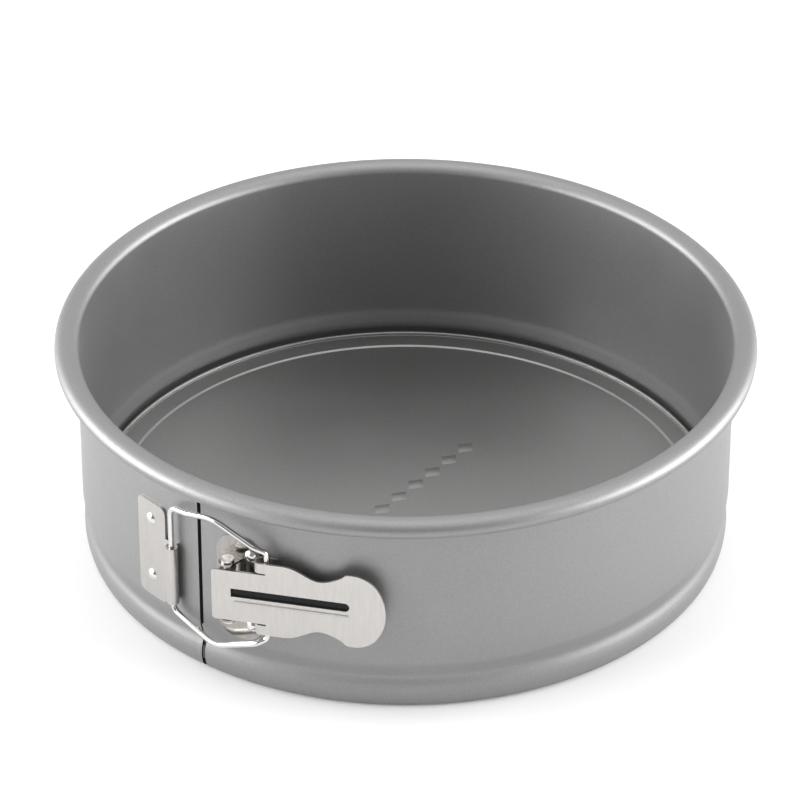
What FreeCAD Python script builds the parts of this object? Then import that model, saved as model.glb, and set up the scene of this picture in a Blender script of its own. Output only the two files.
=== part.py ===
import FreeCAD, Part
import math
import os

# Springform cake pan: a sheet-metal band closed by an over-centre lever latch round a separate
# flat base. Millimetres, +Z up, origin on the pan's axis at the plane it stands on. The seam faces
# -Y, and angles round the pan are counted from the seam, positive towards +X.

Vec = FreeCAD.Vector

# --- band -----------------------------------------------------------------------------------
INNER_R = 114.3            # nine inch pan
SHEET = 0.6
OUTER_R = INNER_R + SHEET
HEIGHT = 80.0
CURL_A = 3.95              # rolled rim, half width of the sheet's centre line
CURL_B = 3.05              # rolled rim, half height of the sheet's centre line
CURL_END = 320.0           # how far the curl is rolled, degrees past the wall
SEAM_GAP = 1.5             # between the two ends of the wall
SEAM_TOP = HEIGHT - 2 * CURL_B - SHEET - 0.3
RIM_GAP = 0.04             # between the two ends of the rolled rim, which meet
REAR_GAP = 0.1             # split opposite the seam, where the strip flexes
LIP_R = 110.4              # inner edge of the flat turned-in lip that the pan stands on
# sheet centre line from the lip up: bead, inward ridge, straight wall (radius, height)
FOOT_LINE = [(111.5, 0.3), (112.4, 0.55), (113.4, 1.5), (114.1, 3.7), (114.3, 6.5), (114.0, 9.0),
             (113.15, 12.2), (113.6, 15.0), (114.4, 18.0), (114.6, 20.6)]

# --- base -----------------------------------------------------------------------------------
BASE_R = 112.4             # clears the ridge so that it lifts out
BASE_T = 0.8
BASE_TOP = 8.6             # upper face of the outer ring of the plate
BASE_HEM = 1.6             # width of the rounded bead along the edge
BASE_HEM_RISE = 1.1
BASE_STEP_R = 103.9        # where the outer ring steps down to the field
BASE_STEP = 0.5
BASE_STEP_RUN = 0.8

# --- latch ----------------------------------------------------------------------------------
LEVER_Z = 42.4             # heights of the centre lines of the latch's pieces
BAIL_Z = 42.8
CATCH_Z = 39.8
CATCH_RIVETS_Z = 40.7
BRACKET_Z = 40.5
PLATE_T = 0.9              # catch plate and bracket
RIVET_R = 1.58
RIVET_HOLE_R = 1.6
RIVET_HEAD_R = 2.3
RIVET_DOME = 1.1
INSIDE_HEAD_R = 2.3
INSIDE_HEAD_T = 0.5

CATCH_FROM = -14.65        # degrees round the pan
CATCH_TO = -7.55
CATCH_HALF = 19.3
CATCH_CORNER = 2.4
CATCH_RIVET = -11.15
CATCH_RIVET_APART = 11.5   # half the distance between the two rivets
KNUCKLE_ANGLE = -5.15
KNUCKLE_R = 117.7
KNUCKLE_OUT = 2.1
KNUCKLE_BORE = 1.05
KNUCKLE_LOW = 24.9
KNUCKLE_HIGH = 47.5

WIRE_R = 1.0
# corners of one run of the bail above its centre line: angle, radius, height, bend radius
BAIL_RUN = [(-5.15, 117.7, 20.8, 3.6), (-1.2, 118.7, 22.4, 14.0), (4.6, 120.2, 25.9, 11.0),
            (12.3, 120.6, 19.6, 5.0)]
LEG_TURN = 17.4            # height and bend radius of the corner above the leg in the lever
LEG_BEND = 2.2

LEVER_ANGLE = 24.05        # the flat lever lies square to this direction
LEVER_FACE = 119.0         # its outer face from the pan's axis
LEVER_T = 0.8
TONGUE_END = -39.2
TONGUE_HALF = 10.0
SHOULDER = -22.45
SHOULDER_HALF = 14.4
SLIT = 0.6
NECK_HALF = 10.15
PADDLE_HALF = 14.4
PADDLE_TIP = 20.6
PADDLE_CORNER_R = 10.0
PADDLE_CORNER_X = 9.3
HEM_OUT = 2.3              # fold round the bail's leg
HEM_IN = 1.5
HEM_END = -17.0
LEG_X = -20.5              # bail's leg behind the lever, along it and from the pan's axis
LEG_FACE = 117.0
PIN_X = -34.4
PIN_FACE = 115.5
PIN_R = 1.5
PIN_HOLE_R = 1.55
PIN_HEAD_R = 2.3
EAR_R = 3.0
EAR_LOW = 10.9
EAR_T = 0.8

BRACKET_FROM = 3.85
BRACKET_TO = 12.45
BRACKET_HALF = 20.5
BRACKET_CORNER = 7.0
BRACKET_RIVET = 10.55
BRACKET_RIVET_APART = 14.2

UP = Vec(0, 0, 1)


def turned(shape, degrees):
    """A copy of the shape carried round the pan's axis."""
    copy = shape.copy()
    copy.rotate(Vec(0, 0, 0), UP, degrees)
    return copy


def around(radius, degrees, z):
    """Point at a radius and an angle from the seam."""
    a = math.radians(degrees)
    return Vec(radius * math.sin(a), -radius * math.cos(a), z)


def spline(points, first=None, last=None):
    curve = Part.BSplineCurve()
    if first is None:
        curve.interpolate(Points=points)
    else:
        curve.interpolate(Points=points, InitialTangent=first, FinalTangent=last)
    return curve


def one_solid(shape):
    shape = shape.removeSplitter()
    return shape.Solids[0] if len(shape.Solids) == 1 else shape


def save(name, shape):
    shape.exportStep("parts/%s.step" % name)


# --- band halves ----------------------------------------------------------------------------
def foot_side(side):
    """The foot line moved half a sheet to one side, as a smooth curve."""
    line = spline([Vec(r, 0, z) for r, z in FOOT_LINE])
    moved = []
    steps = 32
    for i in range(steps + 1):
        u = line.FirstParameter + (line.LastParameter - line.FirstParameter) * i / steps
        t = line.tangent(u)[0]
        moved.append(line.value(u) + Vec(t.z, 0, -t.x) * (side * SHEET / 2))
    moved[0] = Vec(FOOT_LINE[0][0], 0, (1 - side) * SHEET / 2)
    moved[-1] = Vec(INNER_R + (1 + side) * SHEET / 2, 0, FOOT_LINE[-1][1])
    return spline(moved)


def curl_side(side):
    """One face of the rolled rim: an elliptic arc that starts on the wall."""
    centre = Vec(INNER_R + SHEET / 2 + CURL_A, 0, HEIGHT - SHEET / 2 - CURL_B)
    a = CURL_A - side * SHEET / 2
    b = CURL_B - side * SHEET / 2
    points = []
    steps = 40
    for i in range(steps + 1):
        w = math.radians(180.0 - CURL_END * i / steps)
        points.append(centre + Vec(a * math.cos(w), 0, b * math.sin(w)))
    return spline(points)


def band_profile():
    outer_foot = foot_side(1).toShape()
    inner_foot = foot_side(-1).toShape()
    outer_curl = curl_side(1).toShape()
    inner_curl = curl_side(-1).toShape()
    ends = []
    for edge in (outer_foot, inner_foot, outer_curl, inner_curl):
        ends.append((edge.valueAt(edge.FirstParameter), edge.valueAt(edge.LastParameter)))
    edges = [
        outer_foot,
        Part.makeLine(ends[0][1], ends[2][0]),
        outer_curl,
        Part.makeLine(ends[2][1], ends[3][1]),
        inner_curl,
        Part.makeLine(ends[3][0], ends[1][1]),
        inner_foot,
        Part.makeLine(ends[1][0], Vec(LIP_R, 0, SHEET)),
        Part.makeLine(Vec(LIP_R, 0, SHEET), Vec(LIP_R, 0, 0)),
        Part.makeLine(Vec(LIP_R, 0, 0), ends[0][0]),
    ]
    return Part.Face(Part.Wire(Part.__sortEdges__(edges)))


def rivet_holes(degrees, centre, apart):
    holes = []
    for z in (centre + apart, centre - apart):
        hole = Part.makeCylinder(RIVET_HOLE_R, 14, Vec(0, -108, z), Vec(0, -1, 0))
        holes.append(turned(hole, degrees))
    return holes


def half_band(right):
    """Half of the strip, from the seam at -Y round to the flexing line at +Y."""
    rim = math.degrees(RIM_GAP / 2 / OUTER_R)
    rear = math.degrees(REAR_GAP / 2 / OUTER_R)
    sweep = 180.0 - rim - rear
    solid = band_profile().revolve(Vec(0, 0, 0), UP, sweep)
    solid = turned(solid, -90.0 + rim if right else 90.0 + rear)
    seam_x = 0 if right else -SEAM_GAP / 2
    seam = Part.makeBox(SEAM_GAP / 2, 20, SEAM_TOP + 1, Vec(seam_x, -125, -1))
    if right:
        holes = rivet_holes(BRACKET_RIVET, BRACKET_Z, BRACKET_RIVET_APART)
    else:
        holes = rivet_holes(CATCH_RIVET, CATCH_RIVETS_Z, CATCH_RIVET_APART)
    for cutter in [seam] + holes:
        solid = solid.cut(cutter)
    return one_solid(solid)


# --- base plate -----------------------------------------------------------------------------
def base_plate():
    """Pressed disc: a rounded bead along its edge, a flat ring and a field stepped down inside it."""
    top = BASE_TOP
    low = top - BASE_T
    field = top - BASE_STEP
    foot = field - BASE_T
    hem = BASE_R - BASE_HEM
    shoulder = top + BASE_HEM_RISE - BASE_HEM / 2
    arc_from = Vec(BASE_R, 0, shoulder)
    arc_mid = Vec(BASE_R - BASE_HEM / 2, 0, top + BASE_HEM_RISE)
    arc_to = Vec(hem, 0, shoulder)
    under = Part.makePolygon([
        Vec(0, 0, field), Vec(0, 0, foot), Vec(BASE_STEP_R - BASE_STEP_RUN + 0.2, 0, foot),
        Vec(BASE_STEP_R + 0.2, 0, low), Vec(BASE_R - 0.3, 0, low), Vec(BASE_R, 0, low + 0.3), arc_from])
    bead = Part.Wire(Part.Arc(arc_from, arc_mid, arc_to).toShape())
    over = Part.makePolygon([
        arc_to, Vec(hem, 0, top), Vec(BASE_STEP_R, 0, top), Vec(BASE_STEP_R - BASE_STEP_RUN, 0, field),
        Vec(0, 0, field)])
    outline = under.Edges + bead.Edges + over.Edges
    face = Part.Face(Part.Wire(Part.__sortEdges__(outline)))
    return one_solid(face.revolve(Vec(0, 0, 0), UP, 360))


# --- pieces that hug the wall ---------------------------------------------------------------
def wall_sheet(start, end, low, high):
    """Curved sheet lying on the outside of the wall between two angles and two heights."""
    outside = OUTER_R + PLATE_T
    corners = [Vec(OUTER_R, 0, low), Vec(outside, 0, low), Vec(outside, 0, high), Vec(OUTER_R, 0, high)]
    section = Part.Face(Part.makePolygon(corners + corners[:1]))
    return turned(section.revolve(Vec(0, 0, 0), UP, end - start), start - 90.0)


def corner_cutter(degrees, z, radius, side, up):
    """What a rounded corner takes off a wall sheet; side is -1 on the left edge, 1 on the right."""
    size = radius + 2
    x = -size if side < 0 else 0
    low = 0 if up else -size
    block = Part.makeBox(size, 12, size, Vec(x, -120, low))
    cutter = block.cut(Part.makeCylinder(radius, 16, Vec(0, -106, 0), Vec(0, -1, 0)))
    cutter.translate(Vec(0, 0, z))
    return turned(cutter, degrees)


def rounded_wall_sheet(start, end, centre, half, radius):
    sheet = wall_sheet(start, end, centre - half, centre + half)
    step = math.degrees(radius / OUTER_R)
    for side in (-1, 1):
        edge = start + step if side < 0 else end - step
        for up in (True, False):
            z = centre + (half - radius if up else radius - half)
            sheet = sheet.cut(corner_cutter(edge, z, radius, side, up))
    return sheet


def rivet(degrees, z):
    """Domed head outside, flat head inside, shank through plate and band."""
    face = OUTER_R + PLATE_T
    inside = INNER_R - 0.03
    shank = Part.makeCylinder(RIVET_R, face - inside + 0.3, Vec(0, -inside + 0.1, z), Vec(0, -1, 0))
    ball_r = (RIVET_HEAD_R ** 2 + RIVET_DOME ** 2) / (2 * RIVET_DOME)
    ball = Part.makeSphere(ball_r, Vec(0, -face - RIVET_DOME + ball_r, z))
    slab = Part.makeCylinder(RIVET_HEAD_R + 1, RIVET_DOME + 1, Vec(0, -face, z), Vec(0, -1, 0))
    dome = ball.common(slab)
    flat = Part.makeCylinder(INSIDE_HEAD_R, INSIDE_HEAD_T, Vec(0, -inside, z), Vec(0, 1, 0))
    return turned(one_solid(shank.fuse([dome, flat])), degrees)


def catch_plate():
    plate = rounded_wall_sheet(CATCH_FROM, CATCH_TO, CATCH_Z, CATCH_HALF, CATCH_CORNER)
    web = wall_sheet(CATCH_TO - 2.0, KNUCKLE_ANGLE, KNUCKLE_LOW, KNUCKLE_HIGH)
    axis = around(KNUCKLE_R, KNUCKLE_ANGLE, KNUCKLE_LOW)
    length = KNUCKLE_HIGH - KNUCKLE_LOW
    tube = Part.makeCylinder(KNUCKLE_OUT, length, axis, UP)
    bore = Part.makeCylinder(KNUCKLE_BORE, length + 2, axis - Vec(0, 0, 1), UP)
    plate = plate.fuse([web, tube]).cut(bore)
    for hole in rivet_holes(CATCH_RIVET, CATCH_RIVETS_Z, CATCH_RIVET_APART):
        plate = plate.cut(hole)
    return one_solid(plate)


def pin_axis(z):
    """Point on the lever's pivot axis."""
    a = math.radians(LEVER_ANGLE)
    x = PIN_X * math.cos(a) + PIN_FACE * math.sin(a)
    y = PIN_X * math.sin(a) - PIN_FACE * math.cos(a)
    return Vec(x, y, z)


def lever_bracket():
    """Riveted plate with two ears that stand out from the wall and carry the pin."""
    plate = rounded_wall_sheet(BRACKET_FROM, BRACKET_TO, BRACKET_Z, BRACKET_HALF, BRACKET_CORNER)
    axis = pin_axis(0)
    reach = math.hypot(axis.x, axis.y)
    angle = math.degrees(math.atan2(axis.x, -axis.y))
    ears = []
    for low in (LEVER_Z + EAR_LOW, LEVER_Z - EAR_LOW - EAR_T):
        disc = Part.makeCylinder(EAR_R, EAR_T, Vec(0, -reach, low), UP)
        foot = OUTER_R + PLATE_T * 0.5
        outline = Part.makePolygon([Vec(-4.4, -foot, low), Vec(4.4, -foot, low),
                                    Vec(EAR_R, -reach, low), Vec(-EAR_R, -reach, low),
                                    Vec(-4.4, -foot, low)])
        blade = Part.Face(outline).extrude(Vec(0, 0, EAR_T))
        hole = Part.makeCylinder(PIN_R + 0.02, EAR_T + 2, Vec(0, -reach, low - 1), UP)
        ears.append(turned(disc.fuse(blade).cut(hole), angle))
    plate = plate.fuse(ears)
    for hole in rivet_holes(BRACKET_RIVET, BRACKET_Z, BRACKET_RIVET_APART):
        plate = plate.cut(hole)
    return one_solid(plate)


def lever_pin():
    low = LEVER_Z - EAR_LOW - EAR_T
    length = 2 * (EAR_LOW + EAR_T)
    shank = Part.makeCylinder(PIN_R, length + 0.4, pin_axis(low - 0.2), UP)
    upper = Part.makeCylinder(PIN_HEAD_R, 0.9, pin_axis(low + length + 0.03), UP)
    lower = Part.makeCylinder(PIN_HEAD_R, 0.9, pin_axis(low - 0.93), UP)
    return one_solid(shank.fuse([upper, lower]))


# --- wire bail ------------------------------------------------------------------------------
def bent_wire(corners):
    """Closed wire of straight runs joined by tangent bends; corners are points with bend radii."""
    pieces = []
    ends = []
    count = len(corners)
    for i, (point, radius) in enumerate(corners):
        arriving = (point - corners[i - 1][0]).normalize()
        leaving = (corners[(i + 1) % count][0] - point).normalize()
        turn = arriving.getAngle(leaving)
        inward = (leaving - arriving).normalize()
        reach = radius * math.tan(turn / 2)
        start = point - arriving * reach
        middle = point + inward * (radius / math.cos(turn / 2))
        section = Part.Face(Part.Wire(Part.makeCircle(WIRE_R, start, arriving)))
        pieces.append(section.revolve(middle, arriving.cross(leaving), math.degrees(turn)))
        ends.append((start, point + leaving * reach))
    for i in range(count):
        run = ends[i][0] - ends[i - 1][1]
        pieces.append(Part.makeCylinder(WIRE_R, run.Length, ends[i - 1][1], run))
    return one_solid(pieces[0].fuse(pieces[1:]))


def wire_bail():
    a = math.radians(LEVER_ANGLE)
    leg = Vec(LEG_X * math.cos(a) + LEG_FACE * math.sin(a), LEG_X * math.sin(a) - LEG_FACE * math.cos(a), 0)
    upper = [(around(r, deg, BAIL_Z + h), bend) for deg, r, h, bend in BAIL_RUN]
    upper.append((leg + Vec(0, 0, BAIL_Z + LEG_TURN), LEG_BEND))
    lower = []
    for point, bend in reversed(upper):
        lower.append((Vec(point.x, point.y, 2 * BAIL_Z - point.z), bend))
    return bent_wire(upper + lower)


# --- lever ----------------------------------------------------------------------------------
def on_face(x, v):
    return Vec(x, -LEVER_FACE, LEVER_Z + v)


def lever_outline():
    """Tongue, slit, shoulder, waist and round paddle; the same above and below its centre line."""
    # nose circle that runs tangent into both corner circles of the paddle
    up = PADDLE_HALF - PADDLE_CORNER_R
    far = PADDLE_TIP - PADDLE_CORNER_R
    centre = (far ** 2 - PADDLE_CORNER_X ** 2 - up ** 2) / (2 * (far - PADDLE_CORNER_X))
    nose_r = PADDLE_TIP - centre
    lean = math.atan2(up, PADDLE_CORNER_X - centre)
    touch = (centre + nose_r * math.cos(lean), nose_r * math.sin(lean))
    middle = (math.pi / 2 + lean) / 2
    corner = (PADDLE_CORNER_X + PADDLE_CORNER_R * math.cos(middle),
              up + PADDLE_CORNER_R * math.sin(middle))
    edges = []
    for s in (1, -1):
        notch = TONGUE_HALF + SLIT
        corners = [(TONGUE_END, 0), (TONGUE_END, s * (TONGUE_HALF - 0.8)),
                   (TONGUE_END + 0.8, s * TONGUE_HALF), (SHOULDER + 1.9, s * TONGUE_HALF),
                   (SHOULDER + 1.9, s * notch), (SHOULDER, s * notch),
                   (SHOULDER, s * SHOULDER_HALF), (-15.0, s * SHOULDER_HALF)]
        edges.extend(Part.makePolygon([on_face(x, v) for x, v in corners]).Edges)
        waist = [(-15.0, SHOULDER_HALF), (-10.9, 13.7), (-7.2, 11.9), (-2.8, NECK_HALF),
                 (2.0, 11.0), (6.0, 13.2), (PADDLE_CORNER_X, PADDLE_HALF)]
        edges.append(spline([on_face(x, s * v) for x, v in waist], Vec(1, 0, 0), Vec(1, 0, 0)).toShape())
        edges.append(Part.Arc(on_face(PADDLE_CORNER_X, s * PADDLE_HALF), on_face(corner[0], s * corner[1]),
                              on_face(touch[0], s * touch[1])).toShape())
    edges.append(Part.Arc(on_face(touch[0], touch[1]), on_face(PADDLE_TIP, 0),
                          on_face(touch[0], -touch[1])).toShape())
    return Part.Face(Part.Wire(Part.__sortEdges__(edges)))


def hem(low, high):
    """The shoulder folded back on itself round the bail's leg, open towards the paddle."""
    axis = Vec(SHOULDER, -LEVER_FACE + HEM_OUT, LEVER_Z + low)
    ring = Part.makeCylinder(HEM_OUT, high - low, axis, UP)
    ring = ring.cut(Part.makeCylinder(HEM_IN, high - low, axis, UP))
    half = Part.makeBox(HEM_OUT + 1, 2 * HEM_OUT + 2, high - low)
    half.translate(axis - Vec(HEM_OUT + 1, HEM_OUT + 1, 0))
    flange = Part.makeBox(HEM_END - SHOULDER, LEVER_T, high - low)
    flange.translate(Vec(SHOULDER, -LEVER_FACE + 2 * HEM_OUT - LEVER_T, LEVER_Z + low))
    return ring.common(half).fuse(flange)


def clamp_lever():
    plate = lever_outline().extrude(Vec(0, LEVER_T, 0))
    slot_low = LEVER_Z - 0.3
    slot_high = LEVER_Z + 3.0
    slot_r = (slot_high - slot_low) / 2
    slot = Part.makeBox(8.2 - slot_r + 32.6, 4, 2 * slot_r, Vec(-32.6, -LEVER_FACE - 2, slot_low))
    slot_end = Part.makeCylinder(slot_r, 4, Vec(8.2 - slot_r, -LEVER_FACE - 2, slot_low + slot_r), Vec(0, 1, 0))
    plate = plate.cut(slot).cut(slot_end)
    lip = Part.makeCylinder(0.6, 39.0, Vec(-31.2, -LEVER_FACE + 0.25, LEVER_Z - 2.1), Vec(1, 0, 0))
    extras = [lip, hem(TONGUE_HALF + SLIT, SHOULDER_HALF), hem(-SHOULDER_HALF, -TONGUE_HALF - SLIT)]
    inner = -LEVER_FACE + LEVER_T
    for low in (LEVER_Z + 8.9, LEVER_Z - 9.7):
        ear = Part.makeCylinder(EAR_R, EAR_T, Vec(PIN_X, -PIN_FACE, low), UP)
        neck = Part.makeBox(2 * EAR_R, -PIN_FACE - inner + 0.4, EAR_T,
                            Vec(PIN_X - EAR_R, inner - 0.4, low))
        extras.append(ear.fuse(neck))
    plate = plate.fuse(extras)
    pivot = Part.makeCylinder(PIN_HOLE_R, 40, Vec(PIN_X, -PIN_FACE, LEVER_Z - 20), UP)
    plate = plate.cut(pivot)
    return turned(one_solid(plate), LEVER_ANGLE)


os.makedirs("parts", exist_ok=True)
save("band_left_half", half_band(False))
save("band_right_half", half_band(True))
save("base_plate", base_plate())
save("catch_plate", catch_plate())
save("catch_rivet_upper", rivet(CATCH_RIVET, CATCH_RIVETS_Z + CATCH_RIVET_APART))
save("catch_rivet_lower", rivet(CATCH_RIVET, CATCH_RIVETS_Z - CATCH_RIVET_APART))
save("wire_bail", wire_bail())
save("clamp_lever", clamp_lever())
save("lever_bracket", lever_bracket())
save("bracket_rivet_upper", rivet(BRACKET_RIVET, BRACKET_Z + BRACKET_RIVET_APART))
save("bracket_rivet_lower", rivet(BRACKET_RIVET, BRACKET_Z - BRACKET_RIVET_APART))
save("lever_pin", lever_pin())
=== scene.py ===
import bpy
import bmesh
import math
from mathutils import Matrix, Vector


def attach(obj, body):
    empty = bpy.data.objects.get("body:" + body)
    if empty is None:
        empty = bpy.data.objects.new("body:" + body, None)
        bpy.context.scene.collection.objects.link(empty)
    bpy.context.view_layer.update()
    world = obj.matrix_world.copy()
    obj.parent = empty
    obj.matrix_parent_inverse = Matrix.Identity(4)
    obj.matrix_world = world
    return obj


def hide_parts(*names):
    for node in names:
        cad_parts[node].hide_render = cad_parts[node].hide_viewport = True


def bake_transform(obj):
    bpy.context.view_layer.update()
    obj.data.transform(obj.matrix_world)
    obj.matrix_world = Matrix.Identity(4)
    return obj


# Springform cake pan, +Z up, seam at -Y. Lengths here are in millimetres and meshes are built in
# metres. Angles round the pan are counted from the seam, positive towards +X. The band is drawn as
# one springy strip in three lengths: two that ride the halves of the model and one at the rear
# that bends between them.

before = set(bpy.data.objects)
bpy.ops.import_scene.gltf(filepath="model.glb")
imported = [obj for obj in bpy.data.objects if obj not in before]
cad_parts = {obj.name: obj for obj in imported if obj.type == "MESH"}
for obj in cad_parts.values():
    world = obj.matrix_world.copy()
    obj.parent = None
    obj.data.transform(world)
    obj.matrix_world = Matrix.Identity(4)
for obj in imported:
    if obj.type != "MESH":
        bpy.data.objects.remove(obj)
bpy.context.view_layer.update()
scene = bpy.context.scene

MM = 0.001
INNER_R = 114.3
SHEET = 0.6
OUTER_R = INNER_R + SHEET
HEIGHT = 80.0
CURL_A = 3.95              # rolled rim, half width and half height of the sheet's centre line
CURL_B = 3.05
SEAM_TOP = HEIGHT - 2 * CURL_B - SHEET - 0.3
SEAM_GAP = 1.5             # in the wall; the ends of the rolled rim meet
RIM_GAP = 0.04
RETURN_R = 112.75          # how far in the wall's turned-in ends reach
RETURN_SHEET = 0.35
AROUND = 300
REAR = 32.0                # half the angle of the strip's rear length

FIELD = 8.1                # upper face of the base's field
RING = 8.6                 # upper face of the ring around it
BASE_R = 112.4
BASE_T = 0.8
STEP_R = 103.9             # where the ring begins
HEM_R = 110.8              # inner edge of the rounded bead at the base's edge
HEM_RISE = 1.1
MARKS = 9                  # lozenges pressed into the base
MARK_PITCH = 10.0
MARK_X, MARK_Y = 3.4, 4.2  # half width and half length of a lozenge
MARK_OFFSET = -3.0         # their row lies a little left of the middle

LEVER_ANGLE = 24.05        # lever's face, its distance from the pan's axis and its middle height
LEVER_FACE = 119.0
LEVER_Z = 42.4
SLOT_X = (-33.0, 8.6)      # the slot's floor, painted near black as shade, from the slot's ends along the lever
SLOT_Z = (-0.7, 3.4)       # and up it


# --- materials ------------------------------------------------------------------------------
def node(tree, kind, **inputs):
    n = tree.nodes.new(kind)
    for key, value in inputs.items():
        n.inputs[key.replace("_", " ")].default_value = value
    return n


def ramp(tree, source, stops):
    n = tree.nodes.new("ShaderNodeValToRGB")
    n.color_ramp.elements[0].position = stops[0][0]
    n.color_ramp.elements[0].color = stops[0][1]
    n.color_ramp.elements[1].position = stops[-1][0]
    n.color_ramp.elements[1].color = stops[-1][1]
    for position, colour in stops[1:-1]:
        n.color_ramp.elements.new(position).color = colour
    tree.links.new(source, n.inputs["Fac"])
    return n


def grey(v, warm=0.0):
    return (v * (1 + warm), v, v * (1 - warm), 1.0)


def metal(name, value, warm, rough, grain, grain_scale, bump, metallic=1.0, stretch=(1, 1, 1)):
    """Metal whose tone, gloss and surface vary with noise laid out in the object's own space."""
    m = bpy.data.materials.new(name)
    m.use_nodes = True
    t = m.node_tree
    b = t.nodes["Principled BSDF"]
    b.inputs["Metallic"].default_value = metallic
    co = t.nodes.new("ShaderNodeTexCoord")
    mp = t.nodes.new("ShaderNodeMapping")
    mp.inputs["Scale"].default_value = stretch
    t.links.new(co.outputs["Object"], mp.inputs["Vector"])
    fine = node(t, "ShaderNodeTexNoise", Scale=grain_scale, Detail=4.0, Roughness=0.6)
    wide = node(t, "ShaderNodeTexNoise", Scale=22.0, Detail=3.0, Roughness=0.55)
    t.links.new(mp.outputs["Vector"], fine.inputs["Vector"])
    t.links.new(co.outputs["Object"], wide.inputs["Vector"])
    tone = ramp(t, fine.outputs["Fac"], [(0.3, grey(value * (1 - grain), warm)),
                                         (0.7, grey(value * (1 + grain), warm))])
    t.links.new(tone.outputs["Color"], b.inputs["Base Color"])
    gloss = ramp(t, wide.outputs["Fac"], [(0.3, grey(rough * 0.92)), (0.7, grey(rough * 1.08))])
    t.links.new(gloss.outputs["Color"], b.inputs["Roughness"])
    bm = t.nodes.new("ShaderNodeBump")
    bm.inputs["Strength"].default_value = bump
    bm.inputs["Distance"].default_value = 0.0002
    t.links.new(fine.outputs["Fac"], bm.inputs["Height"])
    t.links.new(bm.outputs["Normal"], b.inputs["Normal"])
    return m


COATING = metal("coating", 0.28, 0.0, 0.50, 0.08, 1500.0, 0.14, metallic=0.8)
BASE_COATING = metal("base_coating", 0.31, 0.010, 0.36, 0.08, 1500.0, 0.10, metallic=0.9)
# Near-black painted shade for the seam: the band's cut ends and the strips turned in behind the gap get
# this colour in place of the shade there.
SEAM_PAINTED_SHADE = metal("seam_painted_shade", 0.02, 0.0, 0.6, 0.10, 1500.0, 0.10)
NICKEL = metal("nickel", 0.49, 0.035, 0.34, 0.05, 900.0, 0.05, stretch=(1, 1, 0.15))
# Bracket nickel: the lever's plating made glossier, with its colour darkened as painted shade for the
# bracket's place behind the lever.
PAINTED_SHADE_NICKEL = metal("nickel_painted_shade", 0.34, 0.05, 0.16, 0.12, 500.0, 0.06, stretch=(1, 1, 0.2))
# The slot's floor: a pressed floor whose near-black colour is painted shade for the inside of the slot.
SLOT_SHADE_PAINT = metal("slot_painted_shade", 0.025, 0.0, 0.45, 0.15, 900.0, 0.05)
WIRE = metal("wire", 0.66, 0.02, 0.16, 0.03, 900.0, 0.03)
RIVET = metal("rivet", 0.66, 0.01, 0.2, 0.03, 900.0, 0.04)


# --- mesh helpers ---------------------------------------------------------------------------
def finish_mesh(name, verts, faces, material, sharp=35.0):
    me = bpy.data.meshes.new(name)
    me.from_pydata([tuple(c * MM for c in v) for v in verts], [], faces)
    me.validate()
    bm = bmesh.new()
    bm.from_mesh(me)
    bmesh.ops.recalc_face_normals(bm, faces=bm.faces)
    bm.to_mesh(me)
    bm.free()
    for p in me.polygons:
        p.use_smooth = True
    me.set_sharp_from_angle(angle=math.radians(sharp))
    me.materials.append(material)
    ob = bpy.data.objects.new(name, me)
    scene.collection.objects.link(ob)
    return ob


def arc_lathe(name, sides, start, end, steps, material, edge_material=None):
    """A sheet's two faces, rows of (radius, height), carried round the pan between two angles.

    start and end give the angle at a height, so that an end can step back below the rim."""
    outer, inner = sides
    loop = outer + inner[::-1]
    n = len(loop)
    verts, faces = [], []
    for i in range(steps + 1):
        for r, z in loop:
            a0, a1 = start(z), end(z)
            a = math.radians(a0 + (a1 - a0) * i / steps)
            verts.append((r * math.sin(a), -r * math.cos(a), z))
    for i in range(steps):
        for j in range(n):
            k = (j + 1) % n
            faces.append((i * n + j, i * n + k, (i + 1) * n + k, (i + 1) * n + j))
    for row in (0, steps * n):
        for j in range(len(outer) - 1):
            faces.append((row + j, row + j + 1, row + n - 2 - j, row + n - 1 - j))
    ob = finish_mesh(name, verts, faces, material)
    if edge_material:
        ob.data.materials.append(edge_material)
        for face in ob.data.polygons[steps * n:]:
            face.material_index = 1
    return ob


def catmull(points, per=8):
    out = []
    p = [points[0]] + list(points) + [points[-1]]
    for i in range(1, len(p) - 2):
        for k in range(per):
            t = k / per
            q = []
            for c in range(len(p[0])):
                a, b, d, e = p[i - 1][c], p[i][c], p[i + 1][c], p[i + 2][c]
                q.append(0.5 * ((2 * b) + (-a + d) * t + (2 * a - 5 * b + 4 * d - e) * t * t
                                + (-a + 3 * b - 3 * d + e) * t ** 3))
            out.append(tuple(q))
    out.append(tuple(points[-1]))
    return out


def thicken(line, thickness):
    """The two faces of a sheet along a centre line of (radius, height) points."""
    left, right = [], []
    for i, (r, z) in enumerate(line):
        r0, z0 = line[max(i - 1, 0)]
        r1, z1 = line[min(i + 1, len(line) - 1)]
        d = math.hypot(r1 - r0, z1 - z0)
        nr, nz = (z1 - z0) / d, -(r1 - r0) / d
        left.append((r + nr * thickness / 2, z + nz * thickness / 2))
        right.append((r - nr * thickness / 2, z - nz * thickness / 2))
    return left, right


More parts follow.
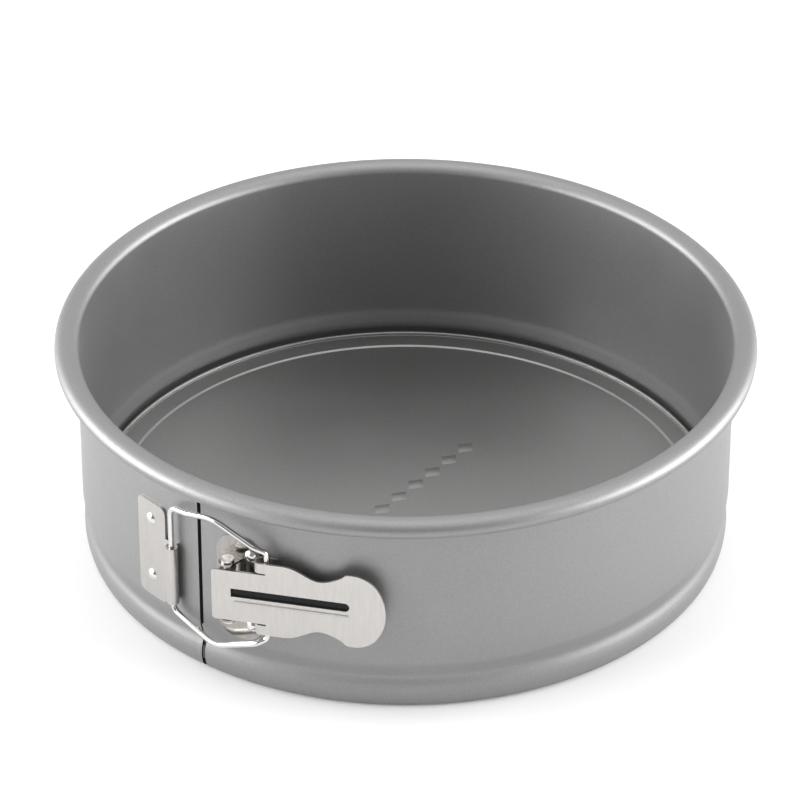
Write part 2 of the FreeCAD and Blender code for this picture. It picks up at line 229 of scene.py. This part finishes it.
# --- band -----------------------------------------------------------------------------------
def band_line():
    """Centre line of the sheet: flat lip, bead, inward ridge, wall and rolled rim."""
    foot = [(111.5, 0.3), (112.4, 0.55), (113.4, 1.5), (114.1, 3.7), (114.3, 6.5), (114.0, 9.0),
            (113.15, 12.2), (113.6, 15.0), (114.4, 18.0), (114.6, 20.6)]
    line = [(110.4, 0.3)] + catmull(foot, 8)
    wall = INNER_R + SHEET / 2
    top = HEIGHT - SHEET / 2 - CURL_B
    for z in (30.0, 40.0, 50.0, 60.0, 68.0, SEAM_TOP - 0.05, SEAM_TOP + 0.05):
        line.append((wall, z))
    turns = 52
    for k in range(turns + 1):
        w = math.radians(180.0 - 320.0 * k / turns)
        line.append((wall + CURL_A + CURL_A * math.cos(w), top + CURL_B * math.sin(w)))
    return line


def seam(z):
    return math.degrees((SEAM_GAP if z < SEAM_TOP else RIM_GAP) / 2 / OUTER_R)


BAND = thicken(band_line(), SHEET)
STEPS = int(AROUND * 0.42)
# the band's cut ends at the seam take the near-black painted shade as their second material
left = arc_lathe("band_left", BAND, lambda z: -seam(z), lambda z: REAR - 180, STEPS, COATING,
                 SEAM_PAINTED_SHADE)
right = arc_lathe("band_right", BAND, seam, lambda z: 180 - REAR, STEPS, COATING,
                  SEAM_PAINTED_SHADE)
rear = arc_lathe("band_rear", BAND, lambda z: 180 - REAR, lambda z: 180 + REAR, STEPS // 2,
                 COATING)
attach(left, "pan_left")
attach(right, "pan_right")
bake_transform(rear)
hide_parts("band_left_half")
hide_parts("band_right_half")


def seam_returns():
    """The wall's two ends, turned in behind the seam: narrow, clear of the base, and coloured near black
    as painted shade.
    """
    low, high = 18.0, SEAM_TOP - 0.2
    reach = [(RETURN_R, low), (RETURN_R, high)]
    wall = [(INNER_R, low), (INNER_R, high)]
    near = math.degrees(SEAM_GAP / 2 / INNER_R)
    far = math.degrees((SEAM_GAP / 2 + RETURN_SHEET) / INNER_R)
    for name, body, first, last in (("seam_return_left", "pan_left", -far, -near),
                                    ("seam_return_right", "pan_right", near, far)):
        strip = arc_lathe(name, (wall, reach), lambda z: first, lambda z: last, 1, SEAM_PAINTED_SHADE)
        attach(strip, body)


seam_returns()


# --- base -----------------------------------------------------------------------------------
def rounded(corners, steps=5):
    """Outline through (radius, height, rounding) corners."""
    out = []
    for i, (r, z, bend) in enumerate(corners):
        here = Vector((r, z))
        if not bend:
            out.append((r, z))
            continue
        back = (Vector(corners[i - 1][:2]) - here).normalized()
        on = (Vector(corners[i + 1][:2]) - here).normalized()
        half = back.angle(on) / 2
        middle = here + (back + on).normalized() * (bend / math.sin(half))
        first = here + back * (bend / math.tan(half))
        sweep = (first - middle).angle_signed(here + on * (bend / math.tan(half)) - middle)
        for k in range(steps + 1):
            a = -sweep * k / steps
            d = first - middle
            out.append((middle.x + d.x * math.cos(a) - d.y * math.sin(a),
                        middle.y + d.x * math.sin(a) + d.y * math.cos(a)))
    return out


def lathe_disc(name, outline, steps, material):
    """A closed disc from an outline that starts and ends on the axis."""
    verts = [(0, 0, outline[0][1]), (0, 0, outline[-1][1])]
    rings = outline[1:-1]
    for r, z in rings:
        for i in range(steps):
            a = math.tau * i / steps
            verts.append((r * math.cos(a), r * math.sin(a), z))
    faces = []
    for i in range(steps):
        k = (i + 1) % steps
        faces.append((0, 2 + i, 2 + k))
        last = 2 + (len(rings) - 1) * steps
        faces.append((1, last + k, last + i))
        for j in range(len(rings) - 1):
            row = 2 + j * steps
            faces.append((row + i, row + steps + i, row + steps + k, row + k))
    return finish_mesh(name, verts, faces, material)


def base():
    under = RING - BASE_T
    step = RING - FIELD
    outline = rounded([
        (0, FIELD, 0), (60, FIELD, 0), (STEP_R - 0.8, FIELD, 0.8), (STEP_R, RING, 0.6),
        (HEM_R, RING, 0.2), (HEM_R, RING + HEM_RISE, 0.78), (BASE_R, RING + HEM_RISE, 0.78),
        (BASE_R, under, 0.3), (STEP_R + 0.2, under, 0.4), (STEP_R - 0.6, under - step, 0.5),
        (60, under - step, 0), (0, under - step, 0)])
    plate = lathe_disc("base_plate_pressed", outline, 360, BASE_COATING)
    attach(plate, "base")
    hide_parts("base_plate")


def lozenges():
    """A plain row of pressed lozenges along the middle of the base."""
    verts, faces = [], []
    for i in range(MARKS):
        y = (i - (MARKS - 1) / 2) * MARK_PITCH
        for wide, z in ((1.0, FIELD - 0.3), (1.0, FIELD + 0.05), (0.55, FIELD + 0.3)):
            for dx, dy in ((MARK_X, 0), (0, MARK_Y), (-MARK_X, 0), (0, -MARK_Y)):
                verts.append((dx * wide + MARK_OFFSET, y + dy * wide, z))
        row = 12 * i
        faces.append(tuple(row + k for k in (3, 2, 1, 0)))
        faces.append(tuple(row + k for k in (8, 9, 10, 11)))
        for level in (0, 4):
            for k in range(4):
                m = (k + 1) % 4
                faces.append((row + level + k, row + level + m, row + level + 4 + m, row + level + 4 + k))
    marks = finish_mesh("base_lozenges", verts, faces, BASE_COATING, sharp=60)
    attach(marks, "base")


base()
lozenges()

# CAD nodes that are shown as they are; the bracket's nickel is darkened as painted shade
SHOWN = {
    "catch_plate": NICKEL, "clamp_lever": NICKEL, "lever_bracket": PAINTED_SHADE_NICKEL, "wire_bail": WIRE,
    "catch_rivet_upper": RIVET, "catch_rivet_lower": RIVET, "bracket_rivet_upper": RIVET,
    "bracket_rivet_lower": RIVET, "lever_pin": RIVET}
for name, material in SHOWN.items():
    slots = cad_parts[name].data.materials
    slots.clear()
    slots.append(material)


# --- lever slot -----------------------------------------------------------------------------
def slot_painted_shade():
    """The floor of the long slot pressed into the lever, coloured near black as painted shade."""
    a = math.radians(LEVER_ANGLE)
    along = Vector((math.cos(a), math.sin(a), 0))
    outward = Vector((math.sin(a), -math.cos(a), 0))
    verts = []
    (x0, x1), (z0, z1) = SLOT_X, SLOT_Z
    for face in (LEVER_FACE - 0.78, LEVER_FACE - 0.88):
        for x, v in ((x0, z0), (x1, z0), (x1, z1), (x0, z1)):
            verts.append(tuple(along * x + outward * face + Vector((0, 0, LEVER_Z + v))))
    faces = [(0, 1, 2, 3), (7, 6, 5, 4)]
    for k in range(4):
        m = (k + 1) % 4
        faces.append((k, 4 + k, 4 + m, m))
    slot_shade_floor = finish_mesh("lever_slot_painted_shade", verts, faces, SLOT_SHADE_PAINT)
    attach(slot_shade_floor, "lever")


slot_painted_shade()


# --- stage ----------------------------------------------------------------------------------
def pale_floor():
    """A matte floor, a little lit from within so that it stays white to the picture's edge."""
    mesh = bpy.data.meshes.new("floor")
    mesh.from_pydata([(-6, -6, 0), (6, -6, 0), (6, 6, 0), (-6, 6, 0)], [], [(0, 1, 2, 3)])
    floor = bpy.data.objects.new("floor", mesh)
    scene.collection.objects.link(floor)
    matte = bpy.data.materials.new("floor")
    matte.use_nodes = True
    shader = matte.node_tree.nodes["Principled BSDF"]
    shader.inputs["Base Color"].default_value = (0.8, 0.8, 0.8, 1)
    shader.inputs["Roughness"].default_value = 1.0
    shader.inputs["Specular IOR Level"].default_value = 0.0
    shader.inputs["Emission Color"].default_value = (1, 1, 1, 1)
    shader.inputs["Emission Strength"].default_value = 0.08
    mesh.materials.append(matte)


def area(name, where, target, size, power):
    light = bpy.data.lights.new(name, "AREA")
    light.shape = "RECTANGLE"
    light.size, light.size_y = size
    light.energy = power
    ob = bpy.data.objects.new(name, light)
    scene.collection.objects.link(ob)
    ob.location = where
    ob.rotation_euler = (Vector(target) - Vector(where)).to_track_quat("-Z", "Y").to_euler()


pale_floor()

# camera: far away with a long lens (millimetres), above the pan and to the right of the seam
AZ, EL, DIST = math.radians(37.0), math.radians(33.13), 1.6293
FOCAL = 206.685
AIM_SIDE, AIM_UP = -0.00203, 0.01299     # where it points, from the pan's middle
side = Vector((math.cos(AZ), math.sin(AZ), 0))
back = Vector((math.sin(AZ) * math.cos(EL), -math.cos(AZ) * math.cos(EL), math.sin(EL)))
up = back.cross(side)
centre = Vector((0, 0, 0.035))
aim = centre + side * AIM_SIDE + up * AIM_UP
cam_data = bpy.data.cameras.new("camera")
cam_data.lens = FOCAL
cam_data.sensor_width = 36
cam_data.clip_end = 50
cam = bpy.data.objects.new("camera", cam_data)
scene.collection.objects.link(cam)
cam.location = centre + back * DIST
cam.rotation_euler = (aim - cam.location).to_track_quat("-Z", "Y").to_euler()
scene.camera = cam


def from_camera(az, el, dist):
    """A place seen from the pan at an azimuth from the camera and an elevation, in degrees."""
    a = AZ + math.radians(az)
    e = math.radians(el)
    return Vector((math.sin(a) * math.cos(e), -math.cos(a) * math.cos(e), math.sin(e))) * dist


for name, az in (("softbox_left", -88), ("softbox_right", 88)):
    area(name, from_camera(az, 12, 1.6), (0, 0, 0.06), (1.8, 1.5), 58)
area("overhead", (0, 0, 2.4), (0, 0, 0), (2.6, 2.6), 22)

# the room is bright behind the pan and dimmer on the side that the camera stands on
ROOM_FRONT, ROOM_BACK = 0.3, 0.95
world = bpy.data.worlds.new("studio")
scene.world = world
world.use_nodes = True
wt = world.node_tree
towards_back = node(wt, "ShaderNodeVectorMath")
towards_back.operation = "DOT_PRODUCT"
towards_back.inputs[1].default_value = (-math.sin(AZ), math.cos(AZ), 0.25)
wt.links.new(wt.nodes.new("ShaderNodeTexCoord").outputs["Generated"], towards_back.inputs[0])
room = ramp(wt, towards_back.outputs["Value"], [(0.0, grey(ROOM_FRONT)), (0.35, grey(ROOM_BACK))])
wt.links.new(room.outputs["Color"], wt.nodes["Background"].inputs["Color"])
wt.nodes["Background"].inputs["Strength"].default_value = 1.0
scene.view_settings.view_transform = "Standard"
scene.view_settings.exposure = 0.0
